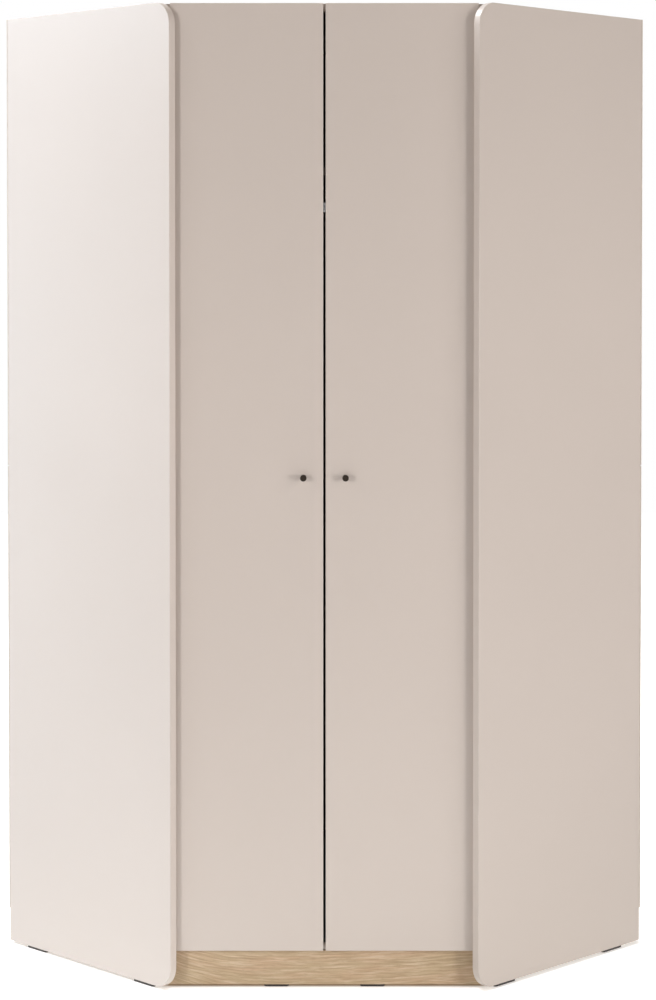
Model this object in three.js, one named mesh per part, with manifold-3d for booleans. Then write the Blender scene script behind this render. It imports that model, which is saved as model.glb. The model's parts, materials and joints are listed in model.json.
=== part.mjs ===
// A free-standing corner wardrobe with two doors across the cut-off front of a square plan.
// Millimetres, +Z up. The origin is on the floor under the middle of the outer box: the doors
// face -Y, the room's corner is at +Y, and the two walls run off from it at 45 degrees.
import * as THREE from "three";
import { mergeVertices } from "three/addons/utils/BufferGeometryUtils.js";
import Module from "manifold-3d";

// Driving dimensions
const wallRun = 970; // along each wall, from the room's corner to the outer face of a side panel
const sideDepth = 530; // of a side panel, out from the wall
const overallHeight = 2000;
const board = 16; // melamine-faced chipboard
const doorBoard = 18; // lacquered fibreboard
const backSheet = 3; // hardboard
const seat = 0.3; // between two pieces that touch
const overrun = 2; // a cutting solid runs past the face that it cuts

// Side panels
const panelCornerRadius = 45; // the two front corners

// Doors
const doorSetback = 14; // of the door face, behind the inner front corners of the side panels
const doorPanelGap = 2.3; // between the outer edge of a door's face and the side panel beside it
const doorGap = 5; // between the two doors
const doorBottom = 79; // above the floor
const doorTopDrop = 1.5; // below the top of the wardrobe

// Horizontal boards and plinth
const plinthHeight = 70;
const plinthSetback = 18; // behind the door face
const boardSetback = 5; // of the top and bottom panels' front edges, behind the backs of the doors
const shelfDrop = 330; // from the top of the wardrobe to the top of the hat shelf
const shelfSetback = 20; // of the shelf's front edge, behind the backs of the doors

// Rear corner boards and backs
const cornerBoardWidth = 120;
const stripWeb = 1.5; // of the strip that joins the upper and lower back sheets
const stripFlange = 1.2;
const stripHeight = 22;

// Glides
const glideHeight = 4.7;
const glideWidth = 11;
const panelGlideLength = 64;
const panelGlideInset = 56; // from the front and rear edges of a side panel
const plinthGlideLength = 50;
const plinthGlideOffset = 98; // from the middle of the plinth
const cornerGlideLength = 50;

// Hanging rail
const railHeight = 30;
const railWidth = 15;
const railWall = 1.2;
const railLength = 760;
const railDrop = 55; // from the underside of the hat shelf to the middle of the rail
const railSetback = 375; // behind the backs of the doors
const socketWidth = 14; // along the rail
const socketWall = 3.5;
const socketFlangeLength = 56;
const socketFlangeWidth = 30;
const socketFlange = 3;
const railEndInset = 1; // of the rail's end, inside its socket

// Knobs
const knobHeight = 1042; // above the floor
const knobOffset = 42.6; // from the middle of the front
const knobLength = 20;
const knobHeadRadius = 6.6;
const knobHeadLength = 8;
const knobEdgeRound = 2;
const knobNeckRadius = 4.2;
const knobBaseRadius = 5.6;
const knobBaseLength = 2;
const screwRadius = 2;
const screwHeadRadius = 4;
const screwHeadLength = 2.4;
const screwGrip = 9; // inside the knob
const screwPlay = 0.4;

// Hinges
const hingeCount = 4;
const hingeInset = 100; // of the first and last hinge, from the ends of a door
const pinDepth = 9.5; // of the pin, in front of the back of the door
const pinRadius = 1.3;
const pinOverhang = 0.6; // of the pin, past each lug
const cornerPlay = 0.7; // between the face of an open door and the side panel's front corner
const edgePlay = 0.4; // between the sweep of a door's outer edge and the boards behind it
const neckPlay = 0.7; // between that sweep and the bend of the arm
const cupInset = 32; // from the outer edge of the door to the middle of the cup
const cupRadius = 17.5;
const cupDepth = 13.4;
const cupWall = 1;
const cupRimRadius = 18.6;
const cupFlange = 1.2;
const cupFlangeLength = 62;
const cupFlangeWidth = 16;
const cupScrewSpan = 48;
const cupScrewRadius = 2.1;
const lugRadius = 3;
const lugThickness = 2;
const lugPlay = 0.4; // between a lug and the arm
const armWidth = 11; // up and down
const armThickness = 3;
const knuckleRadius = 2.6;
const armFootStart = 65; // behind the inner front corner of the side panel, along that panel
const armFootLength = 48;
const armFootHeight = 12.5;
const armFootNose = 7;
const armFootLead = 5; // of the arm's straight run, into the foot
const plateThickness = 3;
const plateLength = 18;
const plateSpan = 44; // up and down
const plateScrewSpan = 32;
const plateScrewRadius = 2.3;

// Wall brackets, plinth bracket and door buffers
const wallBracketLeg = 35;
const wallBracketWidth = 20;
const wallBracketThickness = 2;
const wallBracketPlace = 480; // from the room's corner, along the wall
const plinthBracketLeg = 25;
const plinthBracketWidth = 60;
const plinthBracketThickness = 2;
const bufferRadius = 5;
const bufferOffset = 22; // from the middle of the front

// Counts of facets
const cornerSegments = 8;
const holeSegments = 12;
const cupSegments = 20;
const smallSegments = 10;
const knobSegments = 24;

// Places worked out from the sizes above
const root2 = Math.SQRT2;
const slant = Math.SQRT1_2;
const wallTurn = (5 * Math.PI) / 4;
const roomCornerY = ((wallRun + sideDepth) * slant) / 2;
const frontCornerX = (wallRun - sideDepth) * slant;
const innerCornerX = frontCornerX - board * slant;
const innerCornerY = -roomCornerY + board * slant;
const doorEdgeX = innerCornerX + doorSetback - doorPanelGap * root2;
const doorFaceY = innerCornerY + doorSetback;
const doorBackY = doorFaceY + doorBoard;
const plinthFaceY = doorFaceY + plinthSetback;
const carcassBottom = glideHeight + seat;
const plinthTop = carcassBottom + plinthHeight;
const floorBottom = plinthTop + seat;
const roofBottom = overallHeight - board;
const shelfTop = overallHeight - shelfDrop;
const shelfBottom = shelfTop - board;
const doorTop = overallHeight - doorTopDrop;
const panelInside = wallRun - board; // the inner face of a side panel, along the wall
const sheetInside = backSheet + seat; // the inner face of a back sheet, off the wall
const backSplit = (floorBottom + overallHeight) / 2;

// The pin: a door that stands open at a right angle clears the side panel's front corner. Beyond the
// pin, the outer edge of the door sweeps back into the wardrobe, as far as these two limits.
const pinToFace = doorBoard - pinDepth;
const pivotX = innerCornerX - cornerPlay - pinToFace;
const pivotY = doorBackY - pinDepth;
const edgeSweep = Math.hypot(doorEdgeX - pivotX, Math.max(pinDepth, pinToFace));
const sweptX = pivotX - pinDepth - edgePlay;
const sweptY = pivotY + edgeSweep + edgePlay;
const boardEdgeY = doorBackY + boardSetback;
const cupX = doorEdgeX - cupInset;

const wasm = await Module();
wasm.setup();

// Solids: a geometry with merged corners becomes a solid that can be cut and joined.
function solidOf(geometry) {
  const bare = geometry.clone();
  bare.deleteAttribute("normal");
  bare.deleteAttribute("uv");
  const merged = mergeVertices(bare.index ? bare.toNonIndexed() : bare);
  const corners = [];
  for (let i = 0; i < merged.index.count; i += 3) {
    const [a, b, c] = [0, 1, 2].map((k) => merged.index.getX(i + k));
    if (a !== b && b !== c && c !== a) corners.push(a, b, c);
  }
  const vertProperties = merged.attributes.position.array;
  return new wasm.Manifold(
    new wasm.Mesh({ numProp: 3, vertProperties, triVerts: new Uint32Array(corners) }),
  );
}

function geometryOf(solid) {
  const mesh = solid.getMesh();
  const geometry = new THREE.BufferGeometry();
  geometry.setAttribute("position", new THREE.BufferAttribute(mesh.vertProperties, mesh.numProp));
  geometry.setIndex(new THREE.BufferAttribute(mesh.triVerts, 1));
  const flat = geometry.toNonIndexed();
  flat.computeVertexNormals();
  return flat;
}

function join(geometries) {
  return geometries.map(solidOf).reduce((whole, piece) => whole.add(piece));
}

function cut(solid, cutters) {
  return cutters.map(solidOf).reduce((left, cutter) => left.subtract(cutter), solid);
}

// Plain forms
function box([x0, x1], [y0, y1], [z0, z1]) {
  const geometry = new THREE.BoxGeometry(x1 - x0, y1 - y0, z1 - z0);
  return geometry.translate((x0 + x1) / 2, (y0 + y1) / 2, (z0 + z1) / 2);
}

function upright(outline, z0, z1, segments = cornerSegments) {
  const settings = { depth: z1 - z0, bevelEnabled: false, curveSegments: segments };
  return new THREE.ExtrudeGeometry(outline, settings).translate(0, 0, z0);
}

// An outline drawn in Y and Z, extruded along X.
function crosswise(outline, x0, x1, segments = cornerSegments) {
  const settings = { depth: x1 - x0, bevelEnabled: false, curveSegments: segments };
  const turn = new THREE.Matrix4().makeBasis(
    new THREE.Vector3(0, 1, 0),
    new THREE.Vector3(0, 0, 1),
    new THREE.Vector3(1, 0, 0),
  );
  return new THREE.ExtrudeGeometry(outline, settings).applyMatrix4(turn).translate(x0, 0, 0);
}

// An outline drawn in X and Z, extruded along Y.
function frontal(outline, y0, y1, segments = cornerSegments) {
  const settings = { depth: y1 - y0, bevelEnabled: false, curveSegments: segments };
  return new THREE.ExtrudeGeometry(outline, settings).rotateX(Math.PI / 2).translate(0, y1, 0);
}

// A round bar along Y, from y0 to y1.
function barAlongY(radius, x, [y0, y1], z, segments = smallSegments) {
  return new THREE.CylinderGeometry(radius, radius, y1 - y0, segments).translate(x, (y0 + y1) / 2, z);
}

function barAlongZ(radius, x, y, [z0, z1], segments = smallSegments) {
  const bar = new THREE.CylinderGeometry(radius, radius, z1 - z0, segments);
  return bar.rotateX(Math.PI / 2).translate(x, y, (z0 + z1) / 2);
}

// A strip with half-round ends, centred on the origin, its long side along the first axis.
function stadium(length, width) {
  const reach = (length - width) / 2;
  const outline = new THREE.Shape();
  outline.absarc(reach, 0, width / 2, -Math.PI / 2, Math.PI / 2, false);
  outline.absarc(-reach, 0, width / 2, Math.PI / 2, (3 * Math.PI) / 2, false);
  return outline;
}

function polygon(points) {
  return new THREE.Shape(points.map(([x, y]) => new THREE.Vector2(x, y)));
}

// A place given along the left-hand wall and off it, as world X and Y.
function wallPoint(along, off) {
  return [(off - along) * slant, roomCornerY - (along + off) * slant];
}

// A place behind the left-hand inner front corner: along the side panel, and off its inner face.
function panelPoint(behind, off) {
  return wallPoint(panelInside - off, sideDepth - behind);
}

// The X where the boards between the side panels end, at a given Y.
function boardEndX(y) {
  return roomCornerY - y - root2 * (panelInside - seat);
}

function mirrored(points) {
  return points.map(([x, y]) => [-x, y]).reverse();
}

// Materials
const looks = {
  satin: { color: 0xcdbfb2, roughness: 0.45, metalness: 0 },
  oak: { color: 0xc0a582, roughness: 0.6, metalness: 0 },
  inside: { color: 0xd8ccc0, roughness: 0.6, metalness: 0 },
  hardboard: { color: 0xe4ded6, roughness: 0.8, metalness: 0 },
  steel: { color: 0xb9babb, roughness: 0.3, metalness: 1 },
  bronze: { color: 0x34291f, roughness: 0.45, metalness: 0.7 },
  black: { color: 0x17130f, roughness: 0.7, metalness: 0 },
  clear: { color: 0xe9e6df, roughness: 0.3, metalness: 0 },
};

function piece(parent, name, geometry, look) {
  const made = geometry.isBufferGeometry ? geometry : geometryOf(geometry);
  const mesh = new THREE.Mesh(made, new THREE.MeshStandardMaterial(looks[look]));
  mesh.name = name;
  parent.add(mesh);
  return mesh;
}

const wardrobe = new THREE.Group();

// Each half is a group: the right one is the left one's mirror image. Inside it, the wall group
// stands in the room's corner, with its X along the wall and its Y off the wall.
function halfOf(side) {
  const half = new THREE.Group();
  half.scale.x = side === "left" ? 1 : -1;
  const wall = new THREE.Group();
  wall.position.y = roomCornerY;
  wall.rotation.z = wallTurn;
  half.add(wall);
  wardrobe.add(half);
  return { side, half, wall };
}

const halves = ["left", "right"].map(halfOf);

function addSidePanel({ side, wall }) {
  const r = panelCornerRadius;
  const rear = sheetInside;
  const outline = new THREE.Shape();
  outline.moveTo(rear, carcassBottom);
  outline.lineTo(sideDepth - r, carcassBottom);
  outline.absarc(sideDepth - r, carcassBottom + r, r, -Math.PI / 2, 0, false);
  outline.absarc(sideDepth - r, overallHeight - r, r, 0, Math.PI / 2, false);
  outline.lineTo(rear, overallHeight);
  outline.closePath();
  piece(wall, side + "_side_panel", crosswise(outline, panelInside, wallRun), "satin");
}

// The back of each wall side is two sheets with a strip of T section between them. At the room's
// corner the right-hand sheets cover the edges of the left-hand ones.
function addBack({ side, wall }) {
  const start = side === "left" ? backSheet + seat : 0;
  const heights = {
    lower: [floorBottom, backSplit - stripWeb / 2 - seat],
    upper: [backSplit + stripWeb / 2 + seat, overallHeight],
  };
  for (const [level, height] of Object.entries(heights)) {
    const sheet = box([start, wallRun], [0, backSheet], height);
    piece(wall, side + "_" + level + "_back", sheet, "hardboard");
  }
  const span = [cornerBoardWidth + seat, panelInside - seat];
  const half = stripWeb / 2;
  const web = box(span, [0, sheetInside + stripFlange], [backSplit - half, backSplit + half]);
  const flangeHeight = [backSplit - stripHeight / 2, backSplit + stripHeight / 2];
  const flange = box(span, [sheetInside, sheetInside + stripFlange], flangeHeight);
  piece(wall, side + "_back_joint_strip", join([web, flange]), "clear");
}

// Two upright boards make an angle in the room's corner: the right-hand one butts on the left.
function cornerBoardSpan(side) {
  const start = side === "left" ? sheetInside : sheetInside + board + seat;
  return [start, cornerBoardWidth];
}

function addCornerBoard({ side, wall }) {
  const across = [sheetInside, sheetInside + board];
  const slab = box(cornerBoardSpan(side), across, [carcassBottom, roofBottom - seat]);
  piece(wall, side + "_corner_board", slab, "inside");
}

function glide(length) {
  return upright(stadium(length, glideWidth), 0, glideHeight);
}

function addGlides({ side, half, wall }) {
  const reach = panelGlideInset + panelGlideLength / 2;
  const middle = panelInside + board / 2;
  const places = { front: sideDepth - reach, rear: sheetInside + reach };
  for (const [end, off] of Object.entries(places)) {
    const foot = piece(wall, side + "_panel_" + end + "_glide", glide(panelGlideLength), "black");
    foot.position.set(middle, off, 0);
    foot.rotation.z = Math.PI / 2;
  }
  const [start, end] = cornerBoardSpan(side);
  const corner = piece(wall, side + "_corner_glide", glide(cornerGlideLength), "black");
  corner.position.set((start + end) / 2, sheetInside + board / 2, 0);
  const plinthGlide = piece(half, side + "_plinth_glide", glide(plinthGlideLength), "black");
  plinthGlide.position.set(-plinthGlideOffset, plinthFaceY + board / 2, 0);
}

function addWallBracket({ side, wall }) {
  const inner = sheetInside + seat;
  const top = roofBottom - seat;
  const t = wallBracketThickness;
  const outline = polygon([
    [inner, top - wallBracketLeg],
    [inner + t, top - wallBracketLeg],
    [inner + t, top - t],
    [inner + wallBracketLeg, top - t],
    [inner + wallBracketLeg, top],
    [inner, top],
  ]);
  const reach = wallBracketWidth / 2;
  const bracket = crosswise(outline, wallBracketPlace - reach, wallBracketPlace + reach);
  piece(wall, side + "_wall_bracket", bracket, "steel");
}

// The plan of a horizontal board: its front edge, the side panels' inner faces and the two backs.
// A notched board goes round the corner boards. A board that stands forward has its front corners
// cut back, where the outer edges of the doors swing in.
function boardOutline(frontY, notched) {
  const side = panelInside - seat;
  const rear = sheetInside;
  const past = cornerBoardWidth + seat;
  const inside = sheetInside + board + seat;
  const endY = Math.max(frontY, sweptY);
  const cutBack = [[-sweptX, frontY], [-sweptX, endY]];
  const front = [...(endY > frontY ? cutBack : []), [boardEndX(endY), endY]];
  const leftSide = [...front, wallPoint(side, rear)].reverse();
  const notch = [wallPoint(past, rear), wallPoint(past, inside)].reverse();
  const corner = notched ? [wallPoint(inside, inside)] : [wallPoint(rear, rear)];
  const left = notched ? [...notch, ...leftSide] : leftSide;
  return polygon([...mirrored(left), ...corner, ...left]);
}

function addHorizontalBoards() {
  const levels = {
    top_panel: [roofBottom, boardEdgeY, false],
    bottom_panel: [floorBottom, boardEdgeY, true],
    hat_shelf: [shelfBottom, doorBackY + shelfSetback, true],
  };
  for (const [name, [z, frontY, notched]] of Object.entries(levels)) {
    const slab = upright(boardOutline(frontY, notched), z, z + board);
    piece(wardrobe, name, slab, "inside");
  }
}

function addPlinth() {
  const rearY = plinthFaceY + board;
  const left = [
    [boardEndX(rearY), rearY],
    [boardEndX(plinthFaceY), plinthFaceY],
  ];
  const outline = polygon([...left, ...mirrored(left)]);
  piece(wardrobe, "plinth_board", upright(outline, carcassBottom, plinthTop), "oak");

  const innerY = rearY + seat;
  const top = floorBottom - seat;
  const t = plinthBracketThickness;
  const angle = polygon([
    [innerY, top - plinthBracketLeg],
    [innerY + t, top - plinthBracketLeg],
    [innerY + t, top - t],
    [innerY + plinthBracketLeg, top - t],
    [innerY + plinthBracketLeg, top],
    [innerY, top],
  ]);
  const reach = plinthBracketWidth / 2;
  piece(wardrobe, "plinth_bracket", crosswise(angle, -reach, reach), "steel");
}

const railY = doorBackY + railSetback;
const railZ = shelfBottom - railDrop;

function oval(height, width) {
  const reach = (height - width) / 2;
  const outline = new THREE.Shape();
  outline.absarc(railY, railZ + reach, width / 2, 0, Math.PI, false);
  outline.absarc(railY, railZ - reach, width / 2, Math.PI, 2 * Math.PI, false);
  return outline;
}

function addRail() {
  const tube = oval(railHeight, railWidth);
  tube.holes.push(oval(railHeight - 2 * railWall, railWidth - 2 * railWall));
  const reach = railLength / 2;
  piece(wardrobe, "hanging_rail", crosswise(tube, -reach, reach), "steel");
}

// A rail socket: a flange under the shelf, a neck and a ring round the end of the rail.
function addRailSocket({ side, half }) {
  const outer = -railLength / 2 - railEndInset;
  const span = [outer, outer + socketWidth];
  const top = shelfBottom - seat;
  const middle = (span[0] + span[1]) / 2;
  const flangeX = [middle - socketFlangeWidth / 2, middle + socketFlangeWidth / 2];
  const flangeY = [railY - socketFlangeLength / 2, railY + socketFlangeLength / 2];
  const neckY = [railY - railWidth / 2, railY + railWidth / 2];
  const whole = join([
    box(flangeX, flangeY, [top - socketFlange, top]),
    box(span, neckY, [railZ + railHeight / 2, top]),
    crosswise(oval(railHeight + 2 * socketWall, railWidth + 2 * socketWall), ...span),
  ]);
  const bore = oval(railHeight + 2 * seat, railWidth + 2 * seat);
  const cutter = crosswise(bore, span[0] - overrun, span[1] + overrun);
  piece(half, side + "_rail_socket", cut(whole, [cutter]), "steel");
}

function hingeHeights() {
  const low = doorBottom + hingeInset;
  const step = (doorTop - hingeInset - low) / (hingeCount - 1);
  return Array.from({ length: hingeCount }, (_, i) => low + i * step);
}

const knobX = -knobOffset;
const cupRecessDepth = cupDepth + seat;

// A door: the back has a blind round recess for each hinge cup, and a hole takes the knob's screw.
function addDoor({ side, half }) {
  const slab = box([-doorEdgeX, -doorGap / 2], [doorFaceY, doorBackY], [doorBottom, doorTop]);
  const recessY = [doorBackY - cupRecessDepth, doorBackY + overrun];
  const recesses = hingeHeights().map((z) =>
    barAlongY(cupRadius + seat, -cupX, recessY, z, cupSegments),
  );
  const through = [doorFaceY - overrun, doorBackY + overrun];
  const hole = barAlongY(screwRadius + screwPlay, knobX, through, knobHeight);
  piece(half, side + "_door", cut(solidOf(slab), [...recesses, hole]), "satin");
}

// A turned knob: a base, a waist and a head with a rounded rim. The bore takes the screw.
function addKnob({ side, half }) {
  const bore = screwRadius + screwPlay;
  const headStart = knobLength - knobHeadLength;
  const profile = new THREE.Path();
  profile.moveTo(0, screwGrip + screwPlay);
  profile.lineTo(bore, screwGrip + screwPlay);
  profile.lineTo(bore, 0);
  profile.lineTo(knobBaseRadius, 0);
  profile.lineTo(knobBaseRadius, knobBaseLength);
  profile.quadraticCurveTo(knobNeckRadius, knobBaseLength, knobNeckRadius, (knobBaseLength + headStart) / 2);
  profile.quadraticCurveTo(knobNeckRadius, headStart, knobHeadRadius, headStart);
  profile.lineTo(knobHeadRadius, knobLength - knobEdgeRound);
  profile.absarc(
    knobHeadRadius - knobEdgeRound,
    knobLength - knobEdgeRound,
    knobEdgeRound,
    0,
    Math.PI / 2,
    false,
  );
  profile.lineTo(0, knobLength);
  const turned = new THREE.LatheGeometry(profile.getPoints(cornerSegments / 2), knobSegments);
  const facing = turned.rotateX(Math.PI).translate(knobX, doorFaceY - seat, knobHeight);
  piece(half, side + "_knob", solidOf(facing), "bronze");
}

// The knob's screw goes in from the back of the door.
function addKnobScrew({ side, half }) {
  const headY = doorBackY + seat;
  const whole = join([
    barAlongY(screwHeadRadius, knobX, [headY, headY + screwHeadLength], knobHeight),
    barAlongY(screwRadius, knobX, [doorFaceY - seat - screwGrip, headY + overrun], knobHeight),
  ]);
  piece(half, side + "_knob_screw", whole, "steel");
}

const lugStart = armWidth / 2 + lugPlay;
const lugEnd = lugStart + lugThickness;

function pinSpan(z) {
  return [z - lugEnd - pinOverhang, z + lugEnd + pinOverhang];
}

// A hinge cup: a round shell sunk in the door, a rim with two wings on the back of the door, and
// two lugs that rise from the shell's floor to carry the pin.
function hingeCup(z) {
  const shellFloor = doorBackY - cupDepth;
  const rimY = [doorBackY + seat, doorBackY + seat + cupFlange];
  const x = -cupX;
  const wings = frontal(stadium(cupFlangeLength, cupFlangeWidth), ...rimY);
  const whole = join([
    barAlongY(cupRadius, x, [shellFloor, rimY[1]], z, cupSegments),
    barAlongY(cupRimRadius, x, rimY, z, cupSegments),
    wings.rotateY(Math.PI / 2).translate(x, 0, z),
  ]);
  const hollow = [shellFloor + cupWall, rimY[1] + overrun];
  const screws = [-1, 1].map((way) =>
    barAlongY(cupScrewRadius, x, [rimY[0] - overrun, rimY[1] + overrun], z + (way * cupScrewSpan) / 2),
  );
  const shell = cut(whole, [
    barAlongY(cupRadius - cupWall, x, hollow, z, cupSegments),
    ...screws,
  ]);
  const pinX = -pivotX;
  const lugs = [-1, 1].map((way) => {
    const ends = [z + way * lugStart, z + way * lugEnd].sort((a, b) => a - b);
    const shankX = [pinX - lugRadius, pinX + lugRadius];
    const shank = box(shankX, [shellFloor + cupWall / 2, pivotY], ends);
    return join([shank, barAlongZ(lugRadius, pinX, pivotY, ends, holeSegments)]);
  });
  const joined = lugs.reduce((body, lug) => body.add(lug), shell);
  return cut(joined, [barAlongZ(pinRadius + seat, pinX, pivotY, pinSpan(z), holeSegments)]);
}

// The plan of the arm in front of its foot: a web out from the pin inside the cup, a bend round
// the sweep of the door's edge, and a straight run that leaves the bend along its tangent.
function armOutline(half) {
  const x = -pivotX;
  const inner = edgeSweep + neckPlay;
  const outer = inner + armThickness;
  const lead = panelPoint(armFootStart + armFootLead, armFootNose);
  const away = Math.hypot(lead[0] - x, lead[1] - pivotY);
  const bearing = Math.atan2(lead[1] - pivotY, lead[0] - x);
  const leave = bearing - Math.acos((inner + half) / away);
  const beside = (off) => [lead[0] + off * Math.cos(leave), lead[1] + off * Math.sin(leave)];
  const outline = new THREE.Shape();
  outline.moveTo(x, pivotY - half);
  outline.lineTo(x + outer, pivotY - half);
  outline.absarc(x, pivotY, outer, 0, leave, false);
  outline.lineTo(...beside(half));
  outline.lineTo(...beside(-half));
  outline.absarc(x, pivotY, inner, leave, Math.asin(half / inner), true);
  outline.lineTo(x, pivotY + half);
  outline.closePath();
  return outline;
}

// A hinge arm: a knuckle on the pin, the bent arm and a foot with the mounting plate, its wings
// screwed to the side panel.
function hingeArm(z) {
  const half = armThickness / 2;
  const height = [z - armWidth / 2, z + armWidth / 2];
  const footEnd = armFootStart + armFootLength;
  const plateTop = seat + plateThickness;
  const foot = polygon([
    panelPoint(armFootStart, plateTop - seat),
    panelPoint(armFootStart, armFootNose + half),
    panelPoint(armFootStart + 2 * armFootLead, armFootHeight),
    panelPoint(footEnd, armFootHeight),
    panelPoint(footEnd, plateTop - seat),
  ]);
  const plateMiddle = armFootStart + armFootLength / 2;
  const plateEnds = [plateMiddle - plateLength / 2, plateMiddle + plateLength / 2];
  const plate = polygon([
    panelPoint(plateEnds[0], seat),
    panelPoint(plateEnds[0], plateTop),
    panelPoint(plateEnds[1], plateTop),
    panelPoint(plateEnds[1], seat),
  ]);
  const base = polygon([
    panelPoint(armFootStart, seat),
    panelPoint(armFootStart, plateTop),
    panelPoint(footEnd, plateTop),
    panelPoint(footEnd, seat),
  ]);
  const whole = join([
    barAlongZ(knuckleRadius, -pivotX, pivotY, height, holeSegments),
    upright(armOutline(half), ...height),
    upright(foot, ...height),
    upright(base, ...height),
    upright(plate, z - plateSpan / 2, z + plateSpan / 2),
  ]);
  const screwPlace = panelPoint(plateMiddle, 0);
  const screws = [-1, 1].map((way) => {
    const drill = new THREE.CylinderGeometry(
      plateScrewRadius,
      plateScrewRadius,
      2 * (plateThickness + overrun),
      smallSegments,
    );
    drill.rotateZ(-Math.PI / 4).translate(screwPlace[0], screwPlace[1], z + (way * plateScrewSpan) / 2);
    return drill;
  });
  const through = [height[0] - overrun, height[1] + overrun];
  const pinHole = barAlongZ(pinRadius + seat, -pivotX, pivotY, through, holeSegments);
  return cut(whole, [pinHole, ...screws]);
}

function addHinges({ side, half }) {
  hingeHeights().forEach((z, i) => {
    const number = i + 1;
    const pin = barAlongZ(pinRadius, -pivotX, pivotY, pinSpan(z), holeSegments);
    piece(half, side + "_hinge_cup_" + number, hingeCup(z), "steel");
    piece(half, side + "_hinge_arm_" + number, hingeArm(z), "steel");
    piece(half, side + "_hinge_pin_" + number, pin, "steel");
  });
}

// A soft round buffer between the back of the door and the edge of the top panel.
function addBuffer({ side, half }) {
  const depth = [doorBackY + seat, boardEdgeY - seat];
  const buffer = barAlongY(bufferRadius, -bufferOffset, depth, roofBottom + board / 2);
  piece(half, side + "_door_buffer", buffer, "clear");
}

addHorizontalBoards();
addPlinth();
addRail();
for (const half of halves) {
  addSidePanel(half);
  addBack(half);
  addCornerBoard(half);
  addGlides(half);
  addWallBracket(half);
  addRailSocket(half);
  addDoor(half);
  addKnob(half);
  addKnobScrew(half);
  addHinges(half);
  addBuffer(half);
}

export default wardrobe;
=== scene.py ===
# A corner wardrobe, dressed for a studio photograph. Metres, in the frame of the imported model:
# the doors face -Y, the room's corner is at +Y and the floor is at Z = 0.
import json
import math

import bmesh
import bpy
from mathutils import Matrix, Vector


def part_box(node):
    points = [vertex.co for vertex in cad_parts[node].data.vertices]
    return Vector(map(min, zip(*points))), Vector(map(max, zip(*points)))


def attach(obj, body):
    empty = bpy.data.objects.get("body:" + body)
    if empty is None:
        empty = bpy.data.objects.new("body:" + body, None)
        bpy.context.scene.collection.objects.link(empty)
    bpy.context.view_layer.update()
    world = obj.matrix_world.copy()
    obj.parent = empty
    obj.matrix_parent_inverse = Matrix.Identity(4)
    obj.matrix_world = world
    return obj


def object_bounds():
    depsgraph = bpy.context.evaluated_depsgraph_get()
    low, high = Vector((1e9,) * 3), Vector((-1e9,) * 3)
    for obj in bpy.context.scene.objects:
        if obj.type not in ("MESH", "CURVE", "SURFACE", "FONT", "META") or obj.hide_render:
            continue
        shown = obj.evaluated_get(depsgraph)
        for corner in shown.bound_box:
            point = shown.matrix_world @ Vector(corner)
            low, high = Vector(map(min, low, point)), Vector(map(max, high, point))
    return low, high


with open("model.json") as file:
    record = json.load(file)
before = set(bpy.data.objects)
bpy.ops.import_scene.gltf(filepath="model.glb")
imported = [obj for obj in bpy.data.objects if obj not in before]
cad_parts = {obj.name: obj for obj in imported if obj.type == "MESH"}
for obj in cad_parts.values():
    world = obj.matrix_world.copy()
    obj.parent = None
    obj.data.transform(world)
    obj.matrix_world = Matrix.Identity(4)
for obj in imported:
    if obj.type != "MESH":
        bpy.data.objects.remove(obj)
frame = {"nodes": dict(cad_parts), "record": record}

cad_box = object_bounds()

# Camera, from the photograph's perspective
CAMERA_PLACE = (0.0060, -5.4229, 1.4700)
CAMERA_TILT = -0.0243  # radians, down
CAMERA_TURN = -0.00024  # radians, to the right
CAMERA_LENS_MM = 87.74
CAMERA_SHIFT = -0.175  # of the frame's long side

# Sizes of the model that the small pieces and the floor's shade follow
SLANT = math.sqrt(0.5)  # a wall's share of X and of Y
BOARD = 0.016
SHEET = 0.003
SEAT = 0.0003  # between two pieces that touch
SIDE_DEPTH = 0.530
CORNER_BOARD = 0.120
WALL_RUN = cad_box[1][0] / SLANT
CORNER_Y = cad_box[1][1]
SIDES = ("left", "right")
DOWN = (0, 0, -1)
BACKWARD = (0, 1, 0)


def make_camera():
    data = bpy.data.cameras.new("camera")
    data.lens = CAMERA_LENS_MM
    data.shift_y = CAMERA_SHIFT
    camera = bpy.data.objects.new("camera", data)
    bpy.context.collection.objects.link(camera)
    camera.location = CAMERA_PLACE
    camera.rotation_euler = (math.pi / 2 + CAMERA_TILT, 0, CAMERA_TURN)
    bpy.context.scene.camera = camera
    bpy.context.scene.view_settings.view_transform = "Standard"


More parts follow.
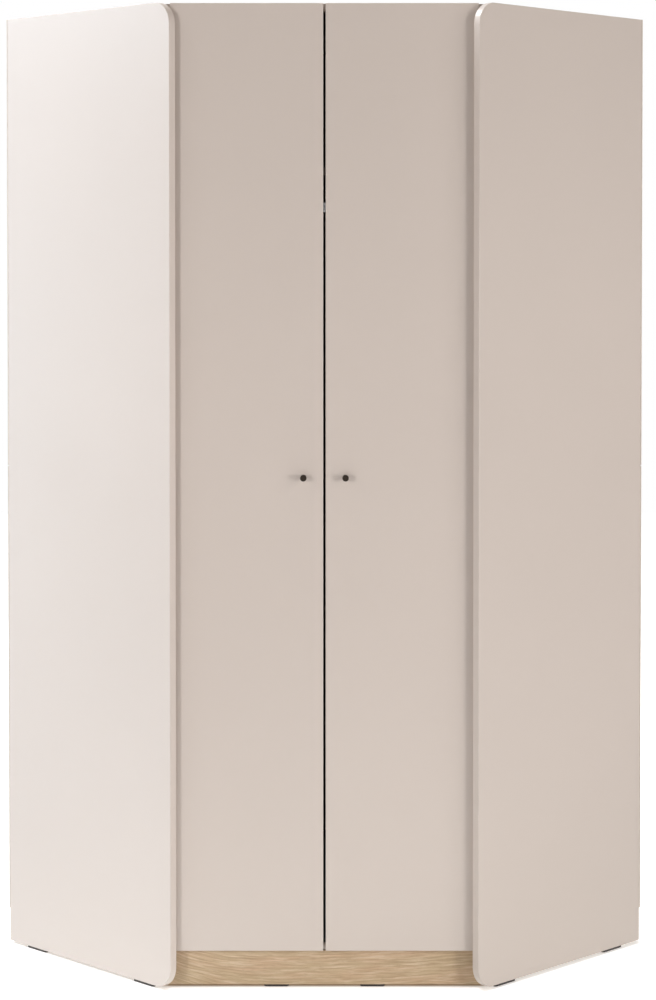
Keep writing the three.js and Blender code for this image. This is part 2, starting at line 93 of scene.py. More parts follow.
# Lights: soft boxes stand round the wardrobe and hang over it. Azimuth 0 is straight in front and
# grows to the right; a height is that of a box's middle. Two narrow ones in front, the keys, throw
# the shadows beside the standing edges of the side panels and beside the knobs.
LIGHT_TARGET = Vector((0, -0.4, 0))
KEY_SIZE = (0.5, 1.0)
KEY_DISTANCE = 3.3
FILL_SIZE = (1.6, 1.2)
FILL_DISTANCE = 4.5
FILL_AIM_HEIGHT = 1.0
OVERHEAD_SIZE = (1.3, 1.0)
COOL = (0.96, 1.0, 1.05)
COLD = (0.83, 1.0, 1.14)
NEUTRAL = (1.0, 1.0, 1.0)
WARM = (1.05, 1.0, 0.94)
KEYS = {
    "key_left": dict(azimuth=-38, height=1.25, power=33, colour=NEUTRAL),
    "key_right": dict(azimuth=48, height=1.10, power=34.5, colour=NEUTRAL),
}
FILLS = {
    "left_high": dict(azimuth=-100, height=3.20, power=75, colour=COLD),
    "left_high_front": dict(azimuth=-62, height=3.40, power=26, colour=WARM),
    "left_middle": dict(azimuth=-105, height=1.60, power=13, colour=COLD),
    "left_low": dict(azimuth=-118, height=0.70, power=34, colour=COLD),
    "right_high": dict(azimuth=62, height=3.20, power=40, colour=WARM),
    "right_low": dict(azimuth=66, height=0.70, power=23.5, colour=NEUTRAL),
    "back": dict(azimuth=180, height=2.20, power=75, colour=NEUTRAL),
}
OVERHEADS = {
    "overhead": dict(place=(-0.5, -0.8, 4.2), aim=(0, -0.6, 0), power=16, colour=WARM),
    "overhead_left": dict(place=(-2.2, 0.3, 4.5), aim=(0, 0, 1), power=122, colour=COOL),
}


def add_soft_box(name, place, aim, size, power, colour):
    data = bpy.data.lights.new(name, "AREA")
    data.shape = "RECTANGLE"
    data.size, data.size_y = size
    data.energy = power
    data.color = colour
    light = bpy.data.objects.new(name, data)
    bpy.context.collection.objects.link(light)
    light.location = place
    light.rotation_euler = (Vector(aim) - light.location).to_track_quat("-Z", "Y").to_euler()


def raised(point, height):
    return Vector((point.x, point.y, height))


def light_place(azimuth, distance, height):
    turn = math.radians(azimuth)
    out = Vector((math.sin(turn), -math.cos(turn), 0)) * distance
    return raised(LIGHT_TARGET + out, height)


def make_lights():
    for name, spec in KEYS.items():
        place = light_place(spec["azimuth"], KEY_DISTANCE, spec["height"])
        aim = raised(LIGHT_TARGET, spec["height"])
        add_soft_box(name, place, aim, KEY_SIZE, spec["power"], spec["colour"])
    for name, spec in FILLS.items():
        place = light_place(spec["azimuth"], FILL_DISTANCE, spec["height"])
        aim = raised(LIGHT_TARGET, FILL_AIM_HEIGHT)
        add_soft_box(name, place, aim, FILL_SIZE, spec["power"], spec["colour"])
    for name, spec in OVERHEADS.items():
        add_soft_box(name, spec["place"], spec["aim"], OVERHEAD_SIZE, spec["power"], spec["colour"])


def add_node(tree, kind, inputs=(), **settings):
    """A new shader node. Each input is a value, or the socket that it comes from."""
    made = tree.nodes.new(kind)
    for key, value in settings.items():
        setattr(made, key, value)
    for key, value in dict(inputs).items():
        if isinstance(value, bpy.types.NodeSocket):
            tree.links.new(value, made.inputs[key])
        else:
            made.inputs[key].default_value = value
    return made


def seen_rays(tree):
    """1 for rays that come from the camera, from a mirror-like surface or through glass."""
    rays = add_node(tree, "ShaderNodeLightPath").outputs
    seen = rays["Is Camera Ray"]
    for kind in ("Is Glossy Ray", "Is Transmission Ray"):
        either = {0: seen, 1: rays[kind]}
        seen = add_node(tree, "ShaderNodeMath", either, operation="MAXIMUM").outputs[0]
    return seen


WHITE = (1, 1, 1, 1)
AMBIENT = 0.01
AMBIENT_COLOUR = (1.0, 0.985, 0.97, 1)


def make_world():
    """White where it is seen, and almost dark as a light."""
    world = bpy.data.worlds.new("studio")
    bpy.context.scene.world = world
    world.use_nodes = True
    tree = world.node_tree
    tree.nodes.clear()
    ambient = add_node(tree, "ShaderNodeBackground", {"Color": AMBIENT_COLOUR, "Strength": AMBIENT})
    paper = add_node(tree, "ShaderNodeBackground", {"Color": WHITE})
    inputs = {"Fac": seen_rays(tree), 1: ambient.outputs[0], 2: paper.outputs[0]}
    mix = add_node(tree, "ShaderNodeMixShader", inputs)
    add_node(tree, "ShaderNodeOutputWorld", {"Surface": mix.outputs[0]})


class Finish:
    """A material with one Principled shader, and short calls for the nodes that feed it."""

    def __init__(self, name, roughness, metallic=0.0, specular=0.5):
        self.material = bpy.data.materials.new(name)
        self.material.use_nodes = True
        self.tree = self.material.node_tree
        self.shader = self.tree.nodes["Principled BSDF"]
        self.shader.inputs["Roughness"].default_value = roughness
        self.shader.inputs["Metallic"].default_value = metallic
        self.shader.inputs["Specular IOR Level"].default_value = specular
        self.place = self.node("ShaderNodeTexCoord").outputs["Object"]

    def node(self, kind, inputs=(), **settings):
        return add_node(self.tree, kind, inputs, **settings)

    def stretched(self, scale):
        inputs = {"Vector": self.place, "Scale": scale}
        return self.node("ShaderNodeMapping", inputs).outputs[0]

    def noise(self, scale, detail=3.0, roughness=0.5, vector=None):
        inputs = {
            "Vector": vector or self.place,
            "Scale": scale,
            "Detail": detail,
            "Roughness": roughness,
        }
        return self.node("ShaderNodeTexNoise", inputs).outputs["Fac"]

    def math(self, operation, a, b=0.0):
        return self.node("ShaderNodeMath", {0: a, 1: b}, operation=operation).outputs[0]

    def plus(self, a, b):
        return self.math("ADD", a, b)

    def minus(self, a, b):
        return self.math("SUBTRACT", a, b)

    def times(self, a, b):
        return self.math("MULTIPLY", a, b)

    def larger(self, a, b):
        return self.math("MAXIMUM", a, b)

    def smaller(self, a, b):
        return self.math("MINIMUM", a, b)

    def spread(self, value, low=0.0, high=1.0, start=0.3, end=0.7):
        """Goes from low to high while the value goes from start to end, and stays there."""
        inputs = {0: value, 1: start, 2: end, 3: low, 4: high}
        return self.node("ShaderNodeMapRange", inputs).outputs[0]

    def mix(self, factor, a, b):
        inputs = {0: factor, 6: a, 7: b}
        return self.node("ShaderNodeMix", inputs, data_type="RGBA").outputs[2]

    def varied(self, factor, colour, low, high):
        """The colour, from low to high times as bright."""
        return self.mix(factor, shade(colour, low), shade(colour, high))

    def feed(self, name, socket):
        self.tree.links.new(socket, self.shader.inputs[name])

    def bump(self, height, strength, distance):
        inputs = {"Height": height, "Strength": strength, "Distance": distance}
        self.feed("Normal", self.node("ShaderNodeBump", inputs).outputs[0])


def shade(colour, factor):
    return tuple(c * factor for c in colour[:3]) + (1,)


WEAR_REACH = 0.0014
FINE_WEAR_REACH = 0.0008


def worn(f, colour, paler, share, reach=WEAR_REACH):
    """Rubs the edges paler in patches: there the rounded normal leaves the face's own."""
    rounded = f.node("ShaderNodeBevel", {"Radius": reach}, samples=4).outputs[0]
    own = f.node("ShaderNodeNewGeometry").outputs["Normal"]
    normals = {0: rounded, 1: own}
    same = f.node("ShaderNodeVectorMath", normals, operation="DOT_PRODUCT").outputs["Value"]
    edge = f.spread(same, low=share, high=0.0, start=0.75, end=0.98)
    patch = f.spread(f.noise(scale=45.0, detail=4.0, roughness=0.65), start=0.42, end=0.62)
    return f.mix(f.times(edge, patch), colour, paler)


# Colours, linear
CASHMERE = (0.605, 0.519, 0.464, 1)
CASHMERE_INSIDE = (0.64, 0.545, 0.475, 1)
OAK_LIGHT = (0.545, 0.402, 0.252, 1)
OAK_PINK = (0.580, 0.398, 0.258, 1)
OAK_PALE = (0.72, 0.568, 0.41, 1)
OAK_DARK = (0.34, 0.228, 0.125, 1)
OAK_PORE = (0.28, 0.175, 0.095, 1)
HARDBOARD_RAW = (0.27, 0.165, 0.095, 1)
HARDBOARD_FACE = (0.66, 0.575, 0.50, 1)
NICKEL = (0.58, 0.57, 0.55, 1)
CHROME = (0.66, 0.66, 0.67, 1)
BRONZE = (0.024, 0.017, 0.012, 1)
BLACK = (0.018, 0.013, 0.011, 1)
PALE_PLASTIC = (0.70, 0.68, 0.64, 1)


# Satin lacquer: a faint unevenness of tone, and the soft orange peel of a sprayed surface.
def satin_cashmere():
    f = Finish("satin_cashmere", roughness=0.36)
    tone = f.spread(f.noise(scale=1.6, detail=2.0))
    base = f.varied(tone, CASHMERE, 0.985, 1.015)
    f.feed("Base Color", worn(f, base, shade(CASHMERE, 1.08), share=0.5))
    f.feed("Roughness", f.spread(f.noise(scale=9.0), 0.33, 0.39))
    f.bump(f.noise(scale=420.0, detail=2.0, roughness=0.4), strength=0.035, distance=0.0006)
    return f.material


# Melamine: a fine pebble grain, less gloss than the outside.
def cashmere_melamine():
    f = Finish("cashmere_melamine", roughness=0.55)
    tone = f.spread(f.noise(scale=2.0, detail=2.0))
    speck = f.spread(f.noise(scale=900.0, detail=2.0))
    base = f.varied(tone, CASHMERE_INSIDE, 0.98, 1.02)
    base = f.mix(speck, base, shade(CASHMERE_INSIDE, 0.96))
    f.feed("Base Color", worn(f, base, shade(CASHMERE_INSIDE, 1.1), share=0.6))
    f.feed("Roughness", f.spread(f.noise(scale=30.0), 0.50, 0.60))
    f.bump(f.noise(scale=700.0, roughness=0.6), strength=0.12, distance=0.0005)
    return f.material


# Oak veneer: the growth lines run along the board. At the left end they fall steeply, then they
# level out and rise a little to the right. Streaks, pores and tints all follow them.
OAK_LEFT_END = -0.32
OAK_FALL = 0.060
OAK_FALL_REACH = 0.098
OAK_RISE = 0.055  # per metre
OAK_LINE_STEP = 0.0067
OAK_LINE_SHARPNESS = 1.5
# Bends of the lines: scales of their noise along X, Y and Z, and how far they go up and down
OAK_BENDS = (
    ((5.0, 1.0, 14.0), 0.014),
    ((17.0, 1.0, 42.0), 0.0035),
)


def grain_height(f, x, z):
    """The height above the floor that a grain line would have with its bends taken out."""
    reaches = f.math("DIVIDE", f.minus(OAK_LEFT_END, x), OAK_FALL_REACH)
    fall = f.times(f.math("EXPONENT", reaches), OAK_FALL)
    height = f.minus(f.minus(z, fall), f.times(x, OAK_RISE))
    for scales, reach in OAK_BENDS:
        bend = f.noise(scale=1.0, detail=2.0, vector=f.stretched(scales))
        height = f.plus(height, f.times(f.minus(bend, 0.5), reach))
    return height


def natural_oak():
    f = Finish("natural_oak", roughness=0.55)
    place = f.node("ShaderNodeSeparateXYZ", {0: f.place}).outputs
    x = place["X"]
    height = grain_height(f, x, place["Z"])

    def along_grain(lengthwise, across, detail=2.0, roughness=0.5):
        """Noise that follows the lines, with its scales along them and across them."""
        inputs = {"X": f.times(x, lengthwise), "Z": f.times(height, across)}
        vector = f.node("ShaderNodeCombineXYZ", inputs).outputs[0]
        return f.noise(1.0, detail, roughness, vector)

    wave = f.math("SINE", f.times(height, 2 * math.pi / OAK_LINE_STEP))
    wave = f.plus(f.times(wave, 0.5), 0.5)
    line = f.math("POWER", wave, OAK_LINE_SHARPNESS)
    line = f.times(line, f.spread(along_grain(4.0, 60.0), low=0.1))
    pink = f.spread(along_grain(6.0, 40.0), start=0.42, end=0.60)
    streak = along_grain(17.0, 480.0, detail=3.0, roughness=0.6)
    pale = along_grain(14.0, 230.0, detail=3.0, roughness=0.6)
    pore = along_grain(70.0, 1100.0, detail=3.0, roughness=0.7)
    pore = f.spread(pore, high=0.6, start=0.56, end=0.70)

    base = f.mix(pink, OAK_LIGHT, OAK_PINK)
    base = f.mix(f.times(line, 0.62), base, OAK_DARK)
    base = f.mix(f.spread(streak, high=0.60, start=0.42, end=0.66), base, OAK_DARK)
    base = f.mix(f.spread(pale, high=0.62, start=0.50, end=0.68), base, OAK_PALE)
    base = f.mix(pore, base, OAK_PORE)
    f.feed("Base Color", worn(f, base, OAK_PALE, share=0.4))
    f.feed("Roughness", f.spread(streak, 0.50, 0.64, start=0.4))
    f.bump(f.minus(f.times(line, 0.4), pore), strength=0.25, distance=0.0004)
    return f.material


# Hardboard: painted pale on the side that faces into the wardrobe, raw brown and mottled on the
# side towards the wall. World normals tell the two apart, because the backs never move.
def hardboard():
    f = Finish("hardboard", roughness=0.75)
    normal = f.node("ShaderNodeNewGeometry").outputs["Normal"]
    normal_y = f.node("ShaderNodeSeparateXYZ", {0: normal}).outputs["Y"]
    outside = f.spread(normal_y, start=0.0, end=0.2)
    fibre = f.noise(260.0, detail=4.0, roughness=0.7, vector=f.stretched((1.0, 1.0, 0.35)))
    cloud = f.spread(f.noise(scale=4.0), high=0.35)
    raw = f.varied(f.spread(fibre), HARDBOARD_RAW, 0.72, 1.25)
    raw = f.mix(cloud, raw, shade(HARDBOARD_RAW, 0.8))
    f.feed("Base Color", f.mix(outside, HARDBOARD_FACE, raw))
    f.feed("Roughness", f.spread(fibre, 0.62, 0.85))
    f.bump(fibre, strength=0.18, distance=0.0004)
    return f.material


def nickel_steel():
    f = Finish("nickel_steel", roughness=0.3, metallic=1.0)
    streak = f.noise(60.0, detail=4.0, roughness=0.6, vector=f.stretched((1.0, 1.0, 9.0)))
    base = f.varied(f.spread(streak), NICKEL, 0.9, 1.06)
    f.feed("Base Color", worn(f, base, shade(NICKEL, 1.25), share=0.7, reach=FINE_WEAR_REACH))
    f.feed("Roughness", f.spread(streak, 0.24, 0.38))
    f.bump(streak, strength=0.03, distance=0.0002)
    return f.material


def chromed_tube():
    f = Finish("chromed_tube", roughness=0.1, metallic=1.0)
    streak = f.noise(80.0, vector=f.stretched((0.1, 1.0, 1.0)))
    f.feed("Base Color", f.varied(f.spread(streak), CHROME, 0.96, 1.03))
    f.feed("Roughness", f.spread(streak, 0.07, 0.16))
    return f.material


def dark_bronze():
    f = Finish("dark_bronze", roughness=0.42, metallic=0.5, specular=0.2)
    rub = f.noise(scale=160.0, detail=4.0, roughness=0.6)
    base = f.varied(f.spread(rub), BRONZE, 0.8, 1.3)
    f.feed("Base Color", worn(f, base, shade(BRONZE, 3.0), share=0.5, reach=FINE_WEAR_REACH))
    f.feed("Roughness", f.spread(rub, 0.40, 0.54))
    f.bump(rub, strength=0.05, distance=0.0002)
    return f.material


def black_plastic():
    f = Finish("black_plastic", roughness=0.6)
    grain = f.noise(scale=700.0, roughness=0.6)
    base = f.varied(f.spread(grain), BLACK, 1.0, 1.9)
    f.feed("Base Color", worn(f, base, shade(BLACK, 4.0), share=0.5))
    f.feed("Roughness", f.spread(grain, 0.52, 0.7))
    f.bump(grain, strength=0.1, distance=0.0003)
    return f.material


def pale_plastic():
    f = Finish("pale_plastic", roughness=0.4)
    grain = f.noise(scale=300.0)
    f.feed("Base Color", f.varied(f.spread(grain), PALE_PLASTIC, 0.97, 1.0))
    f.feed("Roughness", f.spread(grain, 0.36, 0.46))
    f.bump(grain, strength=0.04, distance=0.0002)
    return f.material


# Each finish, and how far the edges of what wears it are rounded
FINISHES = {
    satin_cashmere: 0.0010,
    cashmere_melamine: 0.0007,
    natural_oak: 0.0008,
    hardboard: 0.0003,
    nickel_steel: 0.0003,
    chromed_tube: 0.0002,
    dark_bronze: 0.0003,
    black_plastic: 0.0008,
    pale_plastic: 0.0002,
}
EDGE_RADII = {maker.__name__: radius for maker, radius in FINISHES.items()}
EDGE_SEGMENTS = 3
WELD_DISTANCE = 0.00002
FLAT_ANGLE = math.radians(0.6)
EDGE_ANGLE = math.radians(40)
FACE_WEIGHT = 80


def soften(obj, radius):
    """Rounds the edges of a solid: its facets are merged into faces first."""
    for face in obj.data.polygons:
        face.use_smooth = True
    weld = obj.modifiers.new("weld", "WELD")
    weld.merge_threshold = WELD_DISTANCE
    flat = obj.modifiers.new("flat", "DECIMATE")
    flat.decimate_type = "DISSOLVE"
    flat.angle_limit = FLAT_ANGLE
    bevel = obj.modifiers.new("edges", "BEVEL")
    bevel.width = radius
    bevel.segments = EDGE_SEGMENTS
    bevel.limit_method = "ANGLE"
    bevel.angle_limit = EDGE_ANGLE
    level = obj.modifiers.new("level", "WEIGHTED_NORMAL")
    level.weight = FACE_WEIGHT


def dress_nodes(materials):
    slots = {part["node"]: part["material_slot"] for part in frame["record"]["subparts"]}
    for name, obj in frame["nodes"].items():
        obj.data.materials.clear()
        obj.data.materials.append(materials[slots[name]])
        soften(obj, EDGE_RADII[slots[name]])


def add_fasteners(name, head, places, body, materials):
    """One steel piece of copies of a head. A place is (point, outward direction, turn about it)."""
    joined = bmesh.new()
    for point, out, turn in places:
        facing = Vector(out).to_track_quat("Z", "Y").to_matrix().to_4x4()
        copy = head.copy()
        copy.transform(Matrix.Translation(point) @ facing @ Matrix.Rotation(turn, 4, "Z"))
        joined.from_mesh(copy)
        bpy.data.meshes.remove(copy)
    mesh = bpy.data.meshes.new(name)
    joined.to_mesh(mesh)
    mesh.materials.append(materials["nickel_steel"])
    piece = bpy.data.objects.new(name, mesh)
    bpy.context.collection.objects.link(piece)
    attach(piece, body)


def turned(profile, segments):
    """A solid of revolution about Z from (radius, height) points that start and end on the axis."""
    solid = bmesh.new()
    rings = []
    for radius, height in profile:
        if radius == 0:
            rings.append([solid.verts.new((0, 0, height))])
            continue
        ring = []
        for i in range(segments):
            turn = 2 * math.pi * i / segments
            ring.append(solid.verts.new((radius * math.cos(turn), radius * math.sin(turn), height)))
        rings.append(ring)
    for low, high in zip(rings, rings[1:]):
        for i in range(segments):
            j = (i + 1) % segments
            corners = [low[i % len(low)], low[j % len(low)], high[j % len(high)], high[i % len(high)]]
            solid.faces.new(list(dict.fromkeys(corners)))
    bmesh.ops.recalc_face_normals(solid, faces=solid.faces)
    mesh = bpy.data.meshes.new("turned")
    solid.to_mesh(mesh)
    return mesh


# Heads of screws and cam locks, as built by cross_head, and of nails
SMALL_HEAD = dict(radius=0.0036, height=0.0016, recess=0.0010)
LARGE_HEAD = dict(radius=0.0042, height=0.0020, recess=0.0013)
CAM_HEAD = dict(radius=0.0075, height=0.0004, recess=0.0003)
HEAD_SEGMENTS = 20
HEAD_ROUND_SHARE = 0.25  # of its radius
HEAD_BULGE_SHARE = 0.3  # of that rounding
ARM_LENGTH_SHARE = 0.62  # of its radius
ARM_WIDTH_SHARE = 0.17
ARM_TAPER_SHARE = 0.55
NAIL_RADIUS = 0.0022
NAIL_SUNK = 0.0004
NAIL_RIM = 0.0002
NAIL_CROWN = 0.0003
NAIL_SEGMENTS = 12


def cross_head(radius, height, recess):
    """A head with a cross recess of that depth: outer face up at Z = height, seat at Z = 0."""
    rounding = min(HEAD_ROUND_SHARE * radius, height)
    bulge = rounding * HEAD_BULGE_SHARE
    profile = [
        (0, 0),
        (radius, 0),
        (radius, height - rounding),
        (radius - bulge, height - bulge),
        (radius - rounding, height),
        (0, height),
    ]
    cutter = bmesh.new()
    length, width = ARM_LENGTH_SHARE * radius, ARM_WIDTH_SHARE * radius
    for turn in (0, math.pi / 2):
        arm = bmesh.ops.create_cube(cutter, size=2)
        for vert in arm["verts"]:
            low = vert.co.z < 0
            taper = ARM_TAPER_SHARE if low else 1.0
            z = height - recess if low else height + recess
            vert.co = Vector((vert.co.x * length * taper, vert.co.y * width * taper, z))
        bmesh.ops.rotate(cutter, verts=arm["verts"], matrix=Matrix.Rotation(turn, 3, "Z"))
    blade = bpy.data.meshes.new("blade")
    cutter.to_mesh(blade)
    return cut_away(turned(profile, HEAD_SEGMENTS), blade)


def cut_away(mesh, blade):
    objects = [bpy.data.objects.new("cut", data) for data in (mesh, blade)]
    for obj in objects:
        bpy.context.collection.objects.link(obj)
    cut = objects[0].modifiers.new("cut", "BOOLEAN")
    cut.object = objects[1]
    cut.solver = "EXACT"
    cut.use_self = True
    bpy.context.view_layer.update()
    evaluated = objects[0].evaluated_get(bpy.context.evaluated_depsgraph_get())
    made = bpy.data.meshes.new_from_object(evaluated)
    for obj in objects:
        bpy.data.objects.remove(obj)
    return made


def make_heads():
    nail = [(0, -NAIL_SUNK), (NAIL_RADIUS, -NAIL_SUNK), (NAIL_RADIUS, NAIL_RIM), (0, NAIL_CROWN)]
    return {
        "small": cross_head(**SMALL_HEAD),
        "large": cross_head(**LARGE_HEAD),
        "cam": cross_head(**CAM_HEAD),
        "nail": turned(nail, NAIL_SEGMENTS),
    }


def wall_way(along, off, side):
    """A vector given along a wall, away from the room's corner, and off that wall."""
    x = (off - along) * SLANT
    return Vector((x if side == "left" else -x, -(along + off) * SLANT, 0))


def wall_point(along, off, z, side):
    """A place given along a wall from the room's corner, and off that wall."""
    return Vector((0, CORNER_Y, z)) + wall_way(along, off, side)


# Hinge screws: where they sit, and how far each is turned, in radians
HINGES = 4
HINGE_FOOT_START = 0.065  # from the front edge of the side panel
HINGE_FOOT_LENGTH = 0.048
HINGE_FOOT_HEIGHT = 0.0125
PLATE_TOP = 0.0033
PLATE_SCREW_SPAN = 0.032
PLATE_SCREW_TURN = 0.7
CUP_SCREW_SPAN = 0.048
CUP_SCREW_TURN = 0.4
ADJUSTING_SCREW_SHARES = (0.36, 0.8)  # of the foot's length


def add_hinge_screws(materials, heads):
    panel = WALL_RUN - BOARD
    foot = SIDE_DEPTH - HINGE_FOOT_START
    for side in SIDES:
        cups, plates, arms = [], [], []
        inward = wall_way(-1, 0, side)
        for number in range(1, HINGES + 1):
            low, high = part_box("%s_hinge_cup_%d" % (side, number))
            middle = (low + high) / 2
            for way in (-1, 1):
                z = middle.z + way * CUP_SCREW_SPAN / 2
                place = Vector((middle.x, high.y - SMALL_HEAD["height"], z))
                cups.append((place, BACKWARD, CUP_SCREW_TURN * number + way))
                z = middle.z + way * PLATE_SCREW_SPAN / 2
                place = wall_point(panel - PLATE_TOP, foot - HINGE_FOOT_LENGTH / 2, z, side)
                plates.append((place, inward, PLATE_SCREW_TURN * number - way))
            for share in ADJUSTING_SCREW_SHARES:
                off = foot - HINGE_FOOT_LENGTH * share
                place = wall_point(panel - HINGE_FOOT_HEIGHT, off, middle.z, side)
                arms.append((place, inward, number + share))
        leaf = side + "_door_leaf"
        add_fasteners(side + "_cup_screws", heads["small"], cups, leaf, materials)
        add_fasteners(side + "_plate_screws", heads["large"], plates, "carcass", materials)
        add_fasteners(side + "_adjusting_screws", heads["small"], arms, "carcass", materials)


CAM_INSET = 0.034  # from the side panel
CAM_PLACES = (0.09, 0.40)  # from the wall
CAM_TURN = 0.6


def add_cams(materials, heads):
    """Cam locks under the boards, near the side panels that they pull in."""
    for name in ("top_panel", "hat_shelf", "bottom_panel"):
        low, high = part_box(name)
        places = []
        for side in SIDES:
            turn = CAM_TURN if side == "left" else -CAM_TURN
            for off in CAM_PLACES:
                place = wall_point(WALL_RUN - BOARD - CAM_INSET, off, low.z, side)
                places.append((place, DOWN, turn))
        add_fasteners(name + "_cams", heads["cam"], places, "carcass", materials)


SOCKET_FLANGE = 0.003
SOCKET_SCREW_SPAN = 0.040
SOCKET_SCREW_TURN = 0.5
BRACKET_THICKNESS = 0.002
WALL_BRACKET_PLACE = 0.480
WALL_BRACKET_SCREW_OFF = 0.024  # off the wall, in the level leg
WALL_BRACKET_SCREW_DROP = 0.022  # from the top, in the standing leg
WALL_BRACKET_SCREW_TURNS = (0.3, 0.9)
PLINTH_BRACKET_SCREW_SPAN = 0.036
PLINTH_BRACKET_SCREW_RISE = 0.011  # from the foot, in the standing leg
PLINTH_BRACKET_SCREW_SETBACK = 0.015  # from the plinth, in the level leg
PLINTH_BRACKET_SCREW_TURN = 0.4


def add_bracket_screws(materials, heads):
    places = []
    for side in SIDES:
        low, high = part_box(side + "_rail_socket")
        middle = (low + high) / 2
        for way in (-1, 1):
            y = middle.y + way * SOCKET_SCREW_SPAN / 2
            place = Vector((middle.x, y, high.z - SOCKET_FLANGE))
            places.append((place, DOWN, SOCKET_SCREW_TURN * way))
        low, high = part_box(side + "_wall_bracket")
        level_turn, standing_turn = WALL_BRACKET_SCREW_TURNS
        z = high.z - BRACKET_THICKNESS
        place = wall_point(WALL_BRACKET_PLACE, WALL_BRACKET_SCREW_OFF, z, side)
        places.append((place, DOWN, level_turn))
        off = SHEET + 2 * SEAT + BRACKET_THICKNESS
        place = wall_point(WALL_BRACKET_PLACE, off, high.z - WALL_BRACKET_SCREW_DROP, side)
        places.append((place, wall_way(0, 1, side), standing_turn))
    low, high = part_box("plinth_bracket")
    for way in (-1, 1):
        x = way * PLINTH_BRACKET_SCREW_SPAN / 2
        place = Vector((x, low.y + BRACKET_THICKNESS, low.z + PLINTH_BRACKET_SCREW_RISE))
        places.append((place, BACKWARD, way))
        y = low.y + PLINTH_BRACKET_SCREW_SETBACK
        place = Vector((x, y, high.z - BRACKET_THICKNESS))
        places.append((place, DOWN, way * PLINTH_BRACKET_SCREW_TURN))
    add_fasteners("bracket_screws", heads["small"], places, "carcass", materials)


NAIL_STEP = 0.13
NAIL_INSET = 0.008
CORNER_NAIL_INSETS = (0.03, 0.02)  # from the room's corner, and from the corner board's edge


def add_nails(materials, heads):
    """Nails round the back sheets, driven into the edges of the boards behind them."""
    near_corner, in_corner_board = CORNER_NAIL_INSETS
    uprights = (WALL_RUN - NAIL_INSET, near_corner, CORNER_BOARD - in_corner_board)
    columns = int(WALL_RUN // NAIL_STEP)
    for side in SIDES:
        out = wall_way(0, -1, side)
        for level in ("lower", "upper"):
            low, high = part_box("%s_%s_back" % (side, level))
            places = []
            rows = int((high.z - low.z) // NAIL_STEP)
            for i in range(rows):
                z = low.z + (i + 0.5) * (high.z - low.z) / rows
                for along in uprights:
                    places.append((wall_point(along, 0, z, side), out, 0))
            edge = low.z + NAIL_INSET if level == "lower" else high.z - NAIL_INSET
            for i in range(1, columns):
                along = i * WALL_RUN / columns
                places.append((wall_point(along, 0, edge, side), out, 0))
            name = "%s_%s_back_nails" % (side, level)
            add_fasteners(name, heads["nail"], places, "carcass", materials)


# Floor: white paper where it is seen, with painted shade close under the wardrobe: a brown painted
# shadow in a strip behind the plinth's foot, paler painted shade under the side panels, and darker
# painted shade the further under. As a light, it glows a little round the wardrobe: painted bounce
# light, standing in for the light that paper throws back.
FLOOR_REACH = 9.0
PAPER = (0.85, 0.845, 0.84, 1)
# Painted contact shade: ambient occlusion darkens the floor's colour and its white glow close under
# the wardrobe
CONTACT_SHADE_REACH = 0.014
CONTACT_SHADE_SHARPNESS = 2.0
SHADE_UNDER_PLINTH = (0.24, 0.165, 0.105, 1)
SHADE_UNDER_SIDES = (0.80, 0.77, 0.74, 1)
# The strip of painted shade fades out over these ranges: sideways, and in Y at its front and back
SHADE_STRIP_SIDE = (0.318, 0.332)
SHADE_STRIP_FRONT = (-0.486, -0.476)
SHADE_STRIP_BACK = (-0.42, -0.30)
# Least brightness of the painted contact shade in the strip and elsewhere, and brightness of the
# painted shade deep under the wardrobe
CONTACT_SHADE_LEAST = (0.62, 0.45)
DEEP_SHADE_REACH = (0.03, 0.25)
DEEP_SHADE_GLOW = 0.12
# Painted bounce light: to rays that do not see it, the floor glows round the wardrobe, fading out
# with distance
FLOOR_GLOW = 0.31
FLOOR_GLOW_COLOUR = (0.88, 1.0, 0.98, 1)
FLOOR_GLOW_MIDDLE = (0, -0.3, 0)
FLOOR_GLOW_REACH = (0.7, 1.2)


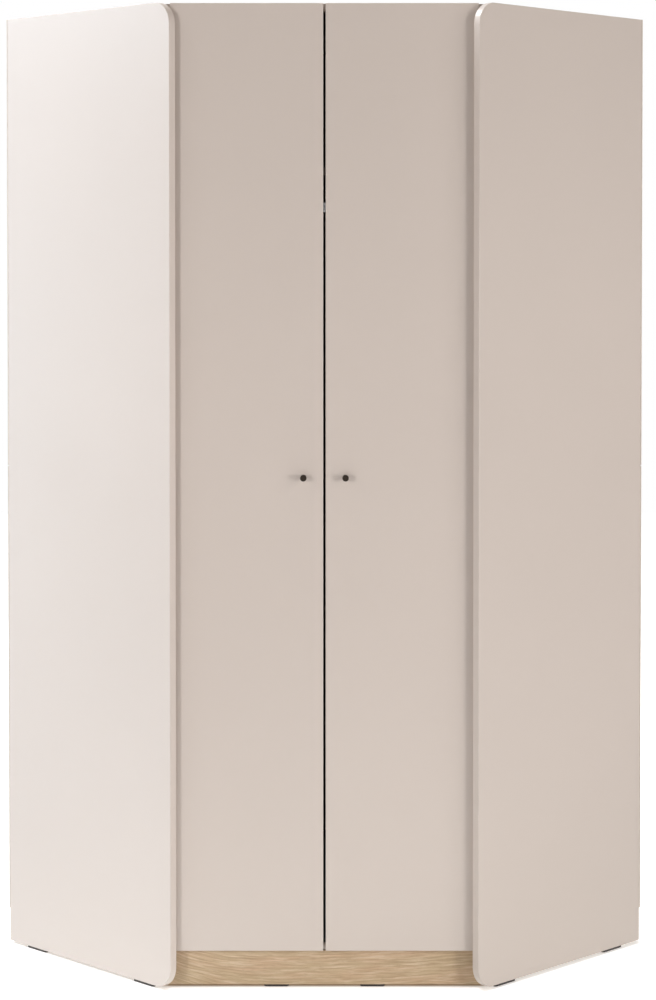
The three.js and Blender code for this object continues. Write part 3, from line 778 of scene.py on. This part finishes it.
def floor_places(f):
    """How far in under the wardrobe a point is, and 0 in the strip of painted shade or 1 outside it.
    """
    place = f.node("ShaderNodeSeparateXYZ", {0: f.place}).outputs
    x, y = f.math("ABSOLUTE", place["X"]), place["Y"]
    from_wall = f.minus(CORNER_Y, f.plus(x, y))
    from_side = f.minus(2 * WALL_RUN * SLANT - CORNER_Y, f.minus(x, y))
    inside = f.times(f.smaller(from_wall, from_side), SLANT)
    inside = f.smaller(inside, f.minus(y, SHADE_STRIP_FRONT[0]))
    beside = f.spread(x, 0.0, 1.0, *SHADE_STRIP_SIDE)
    before = f.spread(y, 1.0, 0.0, *SHADE_STRIP_FRONT)
    behind = f.spread(y, 0.0, 1.0, *SHADE_STRIP_BACK)
    return inside, f.larger(beside, f.larger(before, behind))


def floor_paper():
    f = Finish("floor_paper", roughness=0.95, specular=0.0)
    inside, outside_strip = floor_places(f)
    # Painted contact shade from ambient occlusion, and the painted shade colour: brown behind the
    # plinth, paler under the side panels
    near = f.node("ShaderNodeAmbientOcclusion", {"Distance": CONTACT_SHADE_REACH}, samples=16)
    clear = f.times(f.math("POWER", near.outputs["AO"], CONTACT_SHADE_SHARPNESS), outside_strip)
    under = f.mix(outside_strip, SHADE_UNDER_PLINTH, SHADE_UNDER_SIDES)
    paper = f.varied(f.spread(f.noise(scale=0.7, detail=2.0)), PAPER, 0.985, 1.015)
    f.feed("Base Color", f.mix(clear, under, paper))

    least = f.spread(outside_strip, *CONTACT_SHADE_LEAST, start=0.0, end=1.0)
    # Painted shade: the white glow dims the deeper a point lies under the wardrobe
    depth = f.spread(inside, 1.0, DEEP_SHADE_GLOW, *DEEP_SHADE_REACH)
    white = f.times(f.larger(clear, least), depth)
    ends = {0: f.place, 1: FLOOR_GLOW_MIDDLE}
    away = f.node("ShaderNodeVectorMath", ends, operation="DISTANCE").outputs["Value"]
    # Painted bounce light: the floor's glow round the wardrobe, for rays that do not see it
    around = f.spread(away, FLOOR_GLOW, 0.0, *FLOOR_GLOW_REACH)
    seen = seen_rays(f.tree)
    glow = f.plus(f.times(seen, white), f.times(f.minus(1.0, seen), around))
    f.feed("Emission Strength", glow)
    f.feed("Emission Color", f.mix(seen, FLOOR_GLOW_COLOUR, f.mix(clear, under, WHITE)))
    f.bump(f.noise(scale=160.0), strength=0.05, distance=0.0005)
    return f.material


def make_floor():
    mesh = bpy.data.meshes.new("floor")
    r = FLOOR_REACH
    mesh.from_pydata([(-r, -r, 0), (r, -r, 0), (r, r, 0), (-r, r, 0)], [], [(0, 1, 2, 3)])
    mesh.materials.append(floor_paper())
    floor = bpy.data.objects.new("floor", mesh)
    bpy.context.collection.objects.link(floor)


make_camera()
make_world()
make_lights()
make_floor()
finishes = {maker.__name__: maker() for maker in FINISHES}
dress_nodes(finishes)
head_meshes = make_heads()
add_hinge_screws(finishes, head_meshes)
add_cams(finishes, head_meshes)
add_bracket_screws(finishes, head_meshes)
add_nails(finishes, head_meshes)
